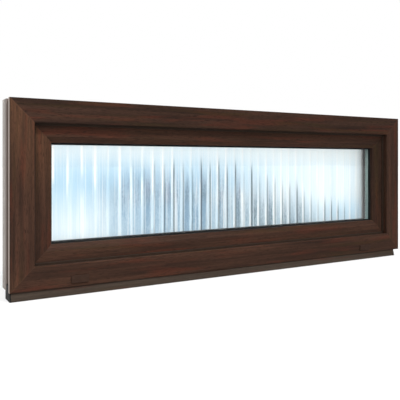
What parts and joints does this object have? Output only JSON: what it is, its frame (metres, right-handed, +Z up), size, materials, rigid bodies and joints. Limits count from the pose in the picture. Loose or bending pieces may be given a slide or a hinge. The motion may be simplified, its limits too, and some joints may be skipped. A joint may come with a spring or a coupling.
{
  "type": "fixed window",
  "caption": "Wide low fixed window: brown wood-grain plastic frame and sash, double glazing with an upright ribbed inner pane, and a base profile with end caps.",
  "frame": {"origin": "underside of the base profile, at the middle of the window's length and of the outer frame's depth", "axes": "+X along the window, to the right when seen from outside; +Y from outside to the room; +Z up"},
  "size_m": [1.3, 0.1045, 0.47],
  "materials": {
    "foiled_profile": "satin",
    "base_plastic": "satin",
    "brown_plastic": "satin",
    "black_plastic": "satin",
    "black_rubber": "matte",
    "black_sealant": "matte",
    "spacer_metal": "satin",
    "clear_glass": "polished",
    "patterned_glass": "ribbed"
  },
  "bodies": {
    "root": {"frame_sill": "foiled_profile", "frame_head": "foiled_profile", "frame_jamb_left": "foiled_profile", "frame_jamb_right": "foiled_profile", "sash_bottom_rail": "foiled_profile", "sash_top_rail": "foiled_profile", "sash_stile_left": "foiled_profile", "sash_stile_right": "foiled_profile", "bead_bottom": "foiled_profile", "bead_top": "foiled_profile", "bead_left": "foiled_profile", "bead_right": "foiled_profile", "outer_gasket_bottom": "black_rubber", "outer_gasket_top": "black_rubber", "outer_gasket_left": "black_rubber", "outer_gasket_right": "black_rubber", "inner_gasket_bottom": "black_rubber", "inner_gasket_top": "black_rubber", "inner_gasket_left": "black_rubber", "inner_gasket_right": "black_rubber", "rebate_seal_bottom": "black_rubber", "rebate_seal_top": "black_rubber", "rebate_seal_left": "black_rubber", "rebate_seal_right": "black_rubber", "room_seal_bottom": "black_rubber", "room_seal_top": "black_rubber", "room_seal_left": "black_rubber", "room_seal_right": "black_rubber", "outer_pane": "clear_glass", "patterned_pane": "patterned_glass", "spacer_frame": "spacer_metal", "edge_seal": "black_sealant", "base_profile": "base_plastic", "base_end_cap_left": "black_plastic", "base_end_cap_right": "black_plastic", "weep_cap_left": "brown_plastic", "weep_cap_right": "brown_plastic"}
  },
  "joints": []
}
